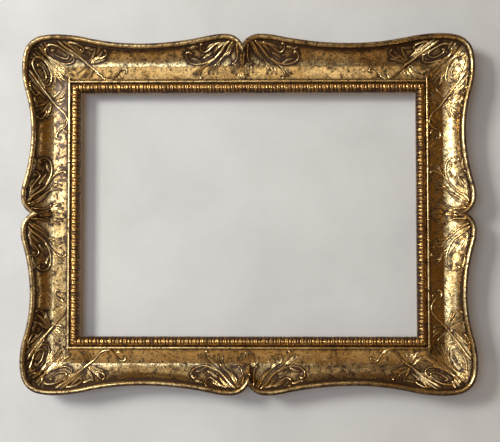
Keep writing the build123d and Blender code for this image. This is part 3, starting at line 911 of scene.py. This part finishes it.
def gildedMaterial(name, s):
    material, tree, shader, coords = newMaterial(name)
    crestWearAndHighlight, grimeAndShade = attribute(tree, "crestWearAndHighlight"), attribute(tree, "grimeAndShade")
    cloudy = noise(tree, coords, *s["cloudPattern"])
    blotch = noise(tree, coords, *s["blotchPattern"])
    fleck = spread(tree, noise(tree, coords, *s["fleckPattern"]), *s["fleckRange"])
    streak = spread(tree, noise(tree, coords, *s["streakPattern"]), *s["streakRange"])
    rubbed = spread(tree, noise(tree, coords, *s["rubPattern"]), *s["rubRange"])
    wrinkle = noise(tree, coords, *s["wrinklePattern"])
    scratch = scratches(tree, coords, crestWearAndHighlight, s)
    gold = mixColour(tree, spread(tree, cloudy, *s["cloudRange"]), s["paleGold"], s["deepGold"])
    # A paler burnished gold where the crest values are high: painted highlight, and partly real burnish
    gold = mixColour(tree, maths(tree, "MULTIPLY", crestWearAndHighlight, s["crestShine"]), gold, s["burnishAndHighlight"])
    # The grime values are mostly painted shade in creases, round the carving and on the darker rails, and
    # the noises below are real dirt; together they darken the gold toward the dirt colours
    soilAndShade = maths(tree, "MULTIPLY", grimeAndShade, s["grimeShadeGain"])
    soilAndShade = maths(tree, "ADD", soilAndShade, spread(tree, blotch, *s["blotchRange"], 0.0, s["blotchSoil"]))
    soilAndShade = addShare(tree, soilAndShade, fleck, s["fleckSoil"])
    soilAndShade = addShare(tree, soilAndShade, streak, s["streakSoil"])
    soilAndShade = addShare(tree, soilAndShade, scratch, s["scratchSoil"])
    cleaned = maths(tree, "MULTIPLY", crestWearAndHighlight, s["crestClean"])
    patinaAndShade = maths(tree, "SUBTRACT", soilAndShade, cleaned, clamp=True)
    dirtAndShade = mixColour(tree, rubbed, s["umber"], s["redClay"])
    tree.links.new(mixColour(tree, patinaAndShade, gold, dirtAndShade), shader.inputs["Base Color"])
    tree.links.new(spread(tree, patinaAndShade, *s["metalRange"]), shader.inputs["Metallic"])
    rough = addShare(tree, spread(tree, blotch, *s["roughRange"]), patinaAndShade, s["soiledRoughness"])
    tree.links.new(rough, shader.inputs["Roughness"])
    varnish = spread(tree, patinaAndShade, *s["varnishRange"], s["varnish"], s["soiledVarnish"])
    tree.links.new(varnish, shader.inputs["Coat Weight"])
    shader.inputs["Coat Roughness"].default_value = s["varnishRoughness"]
    shader.inputs["Specular IOR Level"].default_value = s["specular"]
    surface = maths(tree, "SUBTRACT", wrinkle, maths(tree, "MULTIPLY", scratch, s["scratchDepth"]))
    addBump(tree, shader, surface, s["wrinkleStrength"], s["wrinkleHeight"])
    return material


backWood = {
    "pale": (0.40, 0.26, 0.14),
    "dark": (0.19, 0.105, 0.05),
    "stain": (0.09, 0.05, 0.025),
    "ringPattern": (60.0, 4.0, 0.6, 0.6),
    "ringRange": (0.38, 0.64),
    "fibrePattern": (420.0, 3.0, 0.6),
    "fibreRange": (0.5, 0.75, 0.0, 0.5),
    "stainPattern": (11.0, 4.0, 0.6),
    "stainRange": (0.5, 0.72, 0.0, 0.75),
    "roughRange": (0.3, 0.7, 0.62, 0.85),
    "fibreStrength": 0.35,
    "fibreHeight": 0.0003,
}
pegWood = {
    **backWood,
    "pale": (0.27, 0.16, 0.08),
    "dark": (0.15, 0.08, 0.04),
    "stain": (0.08, 0.045, 0.02),
}


def woodMaterial(name, s, grain):  # grain is the stretch of the pattern along X, Y and Z
    material, tree, shader, coords = newMaterial(name)
    mapped = addNode(tree, "ShaderNodeMapping", (("Vector", coords), ("Scale", grain))).outputs["Vector"]
    rings = noise(tree, mapped, *s["ringPattern"])
    fibres = noise(tree, mapped, *s["fibrePattern"])
    stain = noise(tree, coords, *s["stainPattern"])
    wood = mixColour(tree, spread(tree, rings, *s["ringRange"]), s["pale"], s["dark"])
    wood = mixColour(tree, spread(tree, fibres, *s["fibreRange"]), wood, s["dark"])
    wood = mixColour(tree, spread(tree, stain, *s["stainRange"]), wood, s["stain"])
    tree.links.new(wood, shader.inputs["Base Color"])
    tree.links.new(spread(tree, fibres, *s["roughRange"]), shader.inputs["Roughness"])
    addBump(tree, shader, fibres, s["fibreStrength"], s["fibreHeight"])
    return material


hardware = {
    "tarnishPattern": (160.0, 5.0, 0.65, 0.4),
    "tarnishRange": (0.4, 0.68),
    "roughRange": (0.35, 0.7),
    "pitPattern": (900.0, 3.0, 0.6),
    "pitStrength": 0.25,
    "pitHeight": 0.0001,
}


def metalMaterial(name, bright, dull, roughLow, roughHigh):
    s = hardware
    material, tree, shader, coords = newMaterial(name)
    tarnish = noise(tree, coords, *s["tarnishPattern"])
    colour = mixColour(tree, spread(tree, tarnish, *s["tarnishRange"]), bright, dull)
    tree.links.new(colour, shader.inputs["Base Color"])
    rough = spread(tree, tarnish, *s["roughRange"], roughLow, roughHigh)
    tree.links.new(rough, shader.inputs["Roughness"])
    shader.inputs["Metallic"].default_value = 1.0
    pits = noise(tree, coords, *s["pitPattern"])
    addBump(tree, shader, pits, s["pitStrength"], s["pitHeight"])
    return material


gilt = gildedMaterial("aged_gilding", gilding)
leafGilt = gildedMaterial("toned_leaf_gilding", tonedGilding)
alongX, alongY, alongZ = (0.06, 1.0, 1.0), (1.0, 0.06, 1.0), (1.0, 1.0, 0.06)
screwSteel = ((0.46, 0.43, 0.39), (0.20, 0.16, 0.12), 0.32, 0.55)  # bright, dull, roughness
looks = {
    "back_rail": woodMaterial("back_rail_wood", backWood, alongX),
    "back_stile": woodMaterial("back_stile_wood", backWood, alongZ),
    "lap_pegs": woodMaterial("peg_end_grain", pegWood, alongY),
    "sight_strip_brads": metalMaterial("dull_brad_steel", (0.42, 0.40, 0.38), (0.16, 0.13, 0.11), 0.4, 0.6),
    "hanger_strap": metalMaterial("aged_strap_brass", (0.72, 0.54, 0.24), (0.34, 0.22, 0.09), 0.28, 0.5),
    "hanger_ring": metalMaterial("aged_ring_brass", (0.76, 0.58, 0.27), (0.38, 0.25, 0.10), 0.24, 0.45),
    "turn_button_screws": metalMaterial("button_screw_steel", *screwSteel),
    "hanger_screws": metalMaterial("hanger_screw_steel", *screwSteel),
    "turn_button": metalMaterial("aged_button_brass", (0.68, 0.50, 0.21), (0.32, 0.20, 0.08), 0.3, 0.52),
}
for name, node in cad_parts.items():
    matches = [key for key in looks if name.startswith(key)]
    if matches:
        look = looks[max(matches, key=len)]
        node.data.materials.clear()
        node.data.materials.append(look)
print("materials ready")

for side in rails:
    paths = list(strokePaths(side))
    mouldingPiece(side, gilt, paths)
    carvingPiece(side, gilt, paths)
    leafStrip(side, leafGilt)
    print("rail", side, "with", len(paths), "carved strokes")

# Wall behind the frame, a floor below the view, and a sheet that closes the view from behind
stage = {
    "wallDepth": 0.001,
    "wallSize": 3.0,
    "floorDrop": 1.6,
    "sheetDistance": 3.0,
    "boards": (0.47, 0.36, 0.245),
    "boardsShade": (0.40, 0.305, 0.205),
    "plaster": (0.60, 0.59, 0.54),
    "plasterShade": (0.53, 0.52, 0.475),
    "cloudPattern": (5.0, 4.0, 0.6, 0.4),
    "cloudRange": (0.35, 0.7),
    "roughness": 0.9,
    "gritPattern": (240.0, 4.0, 0.6),
    "gritStrength": 0.12,
    "gritHeight": 0.0006,
}


def plasterMaterial(name, pale, shade):  # clear from the back, so that the view from there is open
    material, tree, shader, coords = newMaterial(name)
    cloudy = noise(tree, coords, *stage["cloudPattern"])
    colour = mixColour(tree, spread(tree, cloudy, *stage["cloudRange"]), pale, shade)
    tree.links.new(colour, shader.inputs["Base Color"])
    shader.inputs["Roughness"].default_value = stage["roughness"]
    grit = noise(tree, coords, *stage["gritPattern"])
    addBump(tree, shader, grit, stage["gritStrength"], stage["gritHeight"])
    clear = addNode(tree, "ShaderNodeBsdfTransparent").outputs["BSDF"]
    backfacing = addNode(tree, "ShaderNodeNewGeometry").outputs["Backfacing"]
    sides = ((0, backfacing), (1, shader.outputs["BSDF"]), (2, clear))
    mixed = addNode(tree, "ShaderNodeMixShader", sides)
    tree.links.new(mixed.outputs["Shader"], tree.nodes["Material Output"].inputs["Surface"])
    return material


def stagePlane(name, turn, place, material):
    mesh = bmesh.new()
    bmesh.ops.create_grid(mesh, x_segments=2, y_segments=2, size=stage["wallSize"])
    data = bpy.data.meshes.new(name)
    mesh.to_mesh(data)
    mesh.free()
    data.materials.append(material)
    plane = bpy.data.objects.new(name, data)
    plane.rotation_euler = turn
    plane.location = place
    scene.collection.objects.link(plane)
    return plane


centre = Vector((0, 0, openingHeight / perMetre))
upright = math.radians(90)
plaster = plasterMaterial("pale_plaster", stage["plaster"], stage["plasterShade"])
boards = plasterMaterial("pale_boards", stage["boards"], stage["boardsShade"])
wall = stagePlane("wall", (upright, 0, 0), (0, stage["wallDepth"], centre.z), plaster)
wall.visible_shadow = False  # lamps behind the wall still light the back
stagePlane("floor", (0, 0, 0), (0, 0, centre.z - stage["floorDrop"]), boards)
sheet = stagePlane("sheet", (-upright, 0, 0), (0, -stage["sheetDistance"], centre.z), plaster)
sheet.visible_glossy = sheet.visible_diffuse = sheet.visible_shadow = False  # the gold doesn't mirror it

# Lamps: a window to the left, the pale walls beside it, a lighter ceiling, and two for the back and side
daylight = (0.99, 0.995, 1.0)
skyLight = (0.8, 1.0, 1.35)
ceilingLight = (1.0, 0.98, 0.94)
softLight = (1.0, 0.98, 0.95)
lamps = {
    "window": {"place": (-2.15, -2.2, 0.95), "size": (0.7, 0.8), "power": 84, "colour": daylight},
    "paleWall": {"place": (-0.72, -2.5, -0.02), "size": (1.15, 1.1), "power": 18, "colour": skyLight},
    "farWall": {"place": (-1.8, -1.9, 0.1), "size": (1.4, 1.2), "power": 1.5, "colour": daylight},
    "sideWall": {"place": (-1.9, -0.8, 0.0), "size": (0.8, 1.3), "power": 5, "colour": skyLight},
    "ceiling": {"place": (-0.35, -1.9, 1.8), "size": (2.4, 1.3), "power": 10, "colour": ceilingLight},
    "flank": {"place": (2.2, 0.3, 0.1), "size": (1.0, 1.2), "power": 18, "colour": softLight},
    "rear": {"place": (0.0, 2.6, 0.6), "size": (2.0, 2.0), "power": 75, "colour": softLight},
}


def faceTo(holder, target):
    holder.rotation_euler = (target - holder.location).to_track_quat("-Z", "Y").to_euler()


for name, lamp in lamps.items():
    light = bpy.data.lights.new(name, "AREA")
    light.shape = "RECTANGLE"
    light.size, light.size_y = lamp["size"]
    light.energy = lamp["power"]
    light.color = lamp["colour"]
    holder = bpy.data.objects.new(name, light)
    holder.location = centre + Vector(lamp["place"])
    faceTo(holder, centre)
    scene.collection.objects.link(holder)

room = {"colour": (0.24, 0.126, 0.038, 1), "strength": 0.64}
world = bpy.data.worlds.new("room")
world.use_nodes = True
background = world.node_tree.nodes["Background"]
background.inputs["Color"].default_value = room["colour"]
background.inputs["Strength"].default_value = room["strength"]
scene.world = world

view = {
    "place": (-0.0025, -1.3, -0.0846),
    "aim": (-0.0162, 0.0, -0.0442),
    "lens": 51.47,
    "shift": (0.0218, 0.0365),
    "clipStart": 0.02,
}
camera = bpy.data.cameras.new("viewer")
camera.lens = view["lens"]
camera.shift_x, camera.shift_y = view["shift"]
camera.clip_start = view["clipStart"]
viewer = bpy.data.objects.new("viewer", camera)
viewer.location = centre + Vector(view["place"])
faceTo(viewer, centre + Vector(view["aim"]))
scene.collection.objects.link(viewer)
scene.camera = viewer
print("stage, lamps and camera set")
